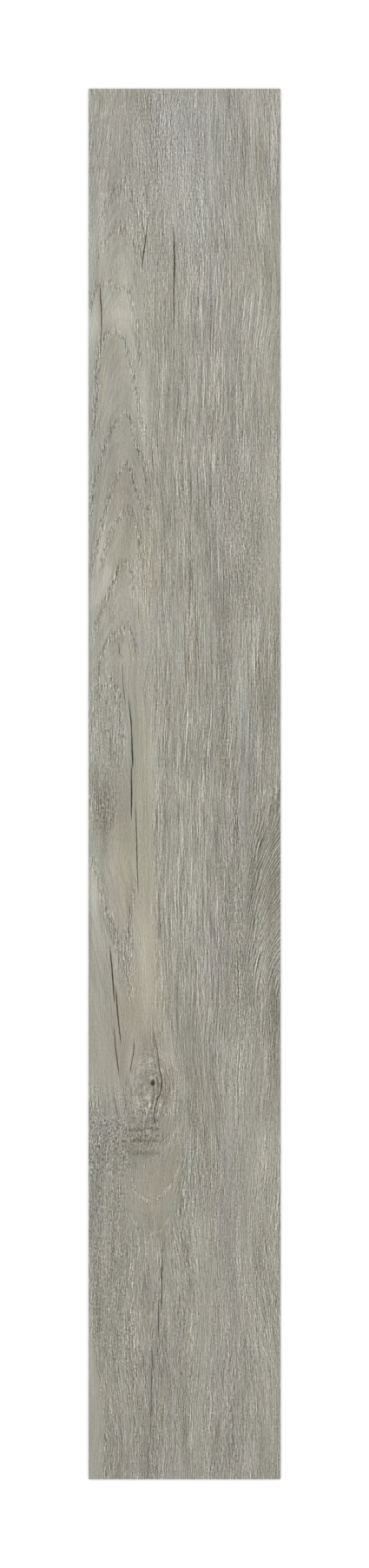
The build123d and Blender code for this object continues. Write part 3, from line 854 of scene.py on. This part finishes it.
    threads = t.mul(t.sub(threads, t.mul(t.step(t.noise(g, 1.05, 15, 0.0, .5, 50), .5, 1.0), .9)),
                    t.math("MAXIMUM", inside(98, 150, 90, 235, 10, 18), t.mul(inside(112, 400, 1400, 1800, 5, 30), t.step(px, 170, 215, .8, .3))))
    dots = t.mul(t.noise(g, 1.4, 2.3, 1.0, .5, 15), t.math("MAXIMUM", t.add(1.0, t.mul(t.noise(g, 5, 12, 1.0, .5, 51), .45)), .25))
    pores = t.noise(g, 1.2, 5.0, 0.0, .5, 16)
    flecks = t.noise(g, 1.1, 6.0, 0.0, .5, 17)

    L = t.add(
        153.1, t.mul(tone, 1.04), t.mul(both, still), t.mul(rim, 11.0), t.mul(rim_beads, bead, 23.0), t.mul(cups, 9.5), t.mul(beads, 24.0), t.mul(ripples, 1.5),
        t.mul(longest, 17.0, long_level, t.sub(1.0, t.mul(fan_, .7))),
        t.mul(t.add(t.mul(wide2, 3.0), t.mul(wide3, 1.2)), level, t.sub(1.0, t.mul(fan_, .7))),
        t.mul(soft2, 2.5), t.mul(soft3, 3.7),
        t.mul(rings, 5.5, ring_weight), t.mul(threads, 17.0),
        t.mul(dots, t.add(1.0, t.mul(rough, 2.0), t.mul(mottle, t.add(20.0, t.mul(mottle, 10.0))))),
    )
    # Open pores and limed flecks, mostly in the pore bands.
    open_ = t.step(pores, .30, .80)
    lime = t.step(flecks, .45, .95)
    where = t.add(.10, t.mul(rough, .25), t.mul(mottle, .3))
    L = t.sub(L, t.mul(open_, t.add(where, t.mul(arch, .6)), 22.0))
    L = t.add(L, t.mul(lime, t.add(where, t.mul(apex, .45)), 26.0))
    # Each limb of an arch is a broken dark line with a pale one on its outside.
    broken = t.step(t.noise(g, 1.15, 5.0, 0.0, .5, 46), -.05, .45)
    sparse = t.step(t.noise(g, 1.4, 8, 0.0, .5, 48), -.1, .6)
    strewn = t.mul(t.noise(g, 2.2, 7, 1.0, .5, 47), 1.4)
    faint = t.step(t.noise(g, 7, 16, 0.0, .5, 52), -.45, .45, .30, 1.0)
    for limb, way in ((limb_a, 1.0), (limb_b, -1.0)):
        d = t.add(limb[0], strewn)
        line = t.mul(t.step(t.math("ABSOLUTE", d), .5, 2.1, 1.0, 0.0), broken)
        beside = t.mul(t.step(t.math("ABSOLUTE", t.add(d, -1.7 * way)), .2, 1.4, 1.0, 0.0), sparse)
        L = t.add(L, t.mul(limb[1], t.add(t.mul(line, faint, -27.0), t.mul(beside, 10.0), t.mul(t.step(t.math("ABSOLUTE", d), .5, 3.4, 1.0, 0.0), -3.5))))
    # Cracks.
    wobble = t.mul(t.noise(g, 2.0, 3.5, 0.0, .5, 18), .08)
    dark = None
    for name in ("crack_a", "crack_b"):
        side, half, depth = t.split(t.field(name))[:3]
        d = t.math("ABSOLUTE", t.add(side, wobble))
        core = t.mul(t.step(d, t.mul(half, .5), t.add(t.mul(half, 1.3), .06), 1.0, 0.0), depth)
        core = t.mul(core, t.math("GREATER_THAN", half, .02))
        dark = core if dark is None else t.math("MAXIMUM", dark, core)
    dark = t.math("MAXIMUM", dark, t.mul(spot, .95))
    L = t.add(t.mul(L, t.math("SUBTRACT", 1.0, dark)), t.mul(dark, 62.0))

    red = t.add(cr, t.mul(t.noise(g, 12, 40, 2.0, .6, 23), 1.1), t.mul(t.noise(g, 2.2, 6, 0.0, .5, 24), .9))
    blue = t.add(cb, t.mul(t.noise(g, 11, 38, 2.0, .6, 25), 1.7), t.mul(t.noise(g, 2.6, 8, 0.0, .5, 26), 1.3))
    color = t.srgb(t.add(L, 5.5, red), t.add(L, 2.7), t.add(L, -8.2, blue))
    # Albedo that renders as that colour under this light.
    color = t.vec("MULTIPLY_ADD", color, (1 / LIGHT / (1 - SHEEN),) * 3)
    color.node.inputs[2].default_value = (-SHEEN,) * 3
    color = t.vec("MAXIMUM", color, (.002,) * 3)

    height = t.add(t.mul(both, .03), t.mul(wide2, .3), t.mul(open_, -.6), t.mul(dark, -1.2))
    finish = t.add(.52, t.mul(open_, .10), t.mul(lime, -.05), t.mul(wide2, .02), t.mul(dark, .2))
    return t.surface(color, finish, height, strength=.25, distance=.00006, specular=.35)


def cut_edge():
    t = Tree("cut_vinyl_edge")
    place = t.node("ShaderNodeTexCoord").outputs["Object"]
    p = t.vec("MULTIPLY", place, (1000, 1000, 1000))

    def speck(size, detail, seed):
        n = t.node("ShaderNodeTexNoise", noise_dimensions="3D")
        t.put(n.inputs["Vector"], t.vec("ADD", p, (seed, seed * 2.0, 0)))
        n.inputs["Scale"].default_value = 1 / size
        n.inputs["Detail"].default_value = detail
        return t.mul(t.sub(n.outputs["Fac"], .5), 4.0)

    grit = speck(.22, 2.0, 3.0)
    cloud = speck(9.0, 2.0, 31.0)
    drag = t.node("ShaderNodeTexNoise", noise_dimensions="3D")
    t.put(drag.inputs["Vector"], t.vec("MULTIPLY", p, (2.2, 2.2, .25)))
    drag.inputs["Scale"].default_value = 1.0
    knife = t.mul(t.sub(drag.outputs["Fac"], .5), 4.0)
    z = t.split(p)[2]
    film = t.step(z, 2.02, 2.14)                      # the print film and clear wear layer close to the face
    L = t.add(128.0, t.mul(grit, 5.0), t.mul(cloud, 3.0), t.mul(knife, 4.0), t.mul(film, 14.0))
    color = t.srgb(t.add(L, 3.0), t.add(L, 1.0), t.add(L, -5.0))
    color = t.vec("MULTIPLY", color, (1 / LIGHT,) * 3)
    return t.surface(color, t.add(.62, t.mul(grit, .04)), t.add(t.mul(grit, .5), knife), .35, .00005, .3)


def backing():
    t = Tree("vinyl_underside")
    place = t.node("ShaderNodeTexCoord").outputs["Object"]
    p = t.vec("MULTIPLY", place, (1000, 1000, 1000))
    x, y = t.split(p)[:2]
    weave = t.mul(t.math("SINE", t.mul(t.add(x, y), 2.9)), t.math("SINE", t.mul(t.sub(x, y), 2.9)))
    n = t.node("ShaderNodeTexNoise", noise_dimensions="2D")
    t.put(n.inputs["Vector"], p)
    n.inputs["Scale"].default_value = .05
    n.inputs["Detail"].default_value = 4.0
    cloud = t.mul(t.sub(n.outputs["Fac"], .5), 4.0)
    m = t.node("ShaderNodeTexNoise", noise_dimensions="2D")
    t.put(m.inputs["Vector"], p)
    m.inputs["Scale"].default_value = 2.2
    m.inputs["Detail"].default_value = 2.0
    grit = t.mul(t.sub(m.outputs["Fac"], .5), 4.0)
    L = t.add(118.0, t.mul(weave, 4.0), t.mul(cloud, 4.0), t.mul(grit, 4.0))
    color = t.srgb(t.add(L, 2.0), t.add(L, 1.0), t.add(L, -3.0))
    color = t.vec("MULTIPLY", color, (1 / LIGHT,) * 3)
    return t.surface(color, .7, t.add(weave, t.mul(grit, .4)), .4, .00008, .3)


for made in (printed_face(), cut_edge(), backing()):
    mesh.materials.append(made)

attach(plank, "root")
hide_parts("plank")

# ------------------------------------------------------------------ the studio
floor_mesh = bpy.data.meshes.new("floor")
S = 60.0
floor_mesh.from_pydata([(-S, -S, 0), (S, -S, 0), (S, S, 0), (-S, S, 0)], [], [(0, 1, 2, 3)])
floor = bpy.data.objects.new("floor", floor_mesh)
floor.location = (0, 0, -.0001)
bpy.context.scene.collection.objects.link(floor)
pale = bpy.data.materials.new("pale_floor")
pale.use_nodes = True
pb = pale.node_tree.nodes["Principled BSDF"]
pb.inputs["Base Color"].default_value = (.93, .93, .93, 1)
pb.inputs["Roughness"].default_value = .9
pb.inputs["Specular IOR Level"].default_value = .1
floor_mesh.materials.append(pale)

world = bpy.data.worlds.new("studio")
bpy.context.scene.world = world
world.use_nodes = True
back = world.node_tree.nodes["Background"]
back.inputs["Color"].default_value = (1, 1, 1, 1)
back.inputs["Strength"].default_value = 1.0

sun = bpy.data.lights.new("soft_key", "SUN")
sun.energy = .62
sun.angle = math.radians(50)
key = bpy.data.objects.new("soft_key", sun)
key.rotation_euler = (math.radians(-14), math.radians(-14), 0)
bpy.context.scene.collection.objects.link(key)

bpy.context.scene.view_settings.view_transform = "Standard"
bpy.context.scene.view_settings.look = "None"

# Looking straight down on the middle of the plank, its far end up.
cam = bpy.data.cameras.new("camera")
cam.type = "PERSP"
cam.lens = 85
cam.sensor_width = 36
cam.clip_end = 200
camera = bpy.data.objects.new("camera", cam)
camera.location = (0, 0, THICK + 1804 * PX * cam.lens / cam.sensor_width)
bpy.context.scene.collection.objects.link(camera)
bpy.context.scene.camera = camera
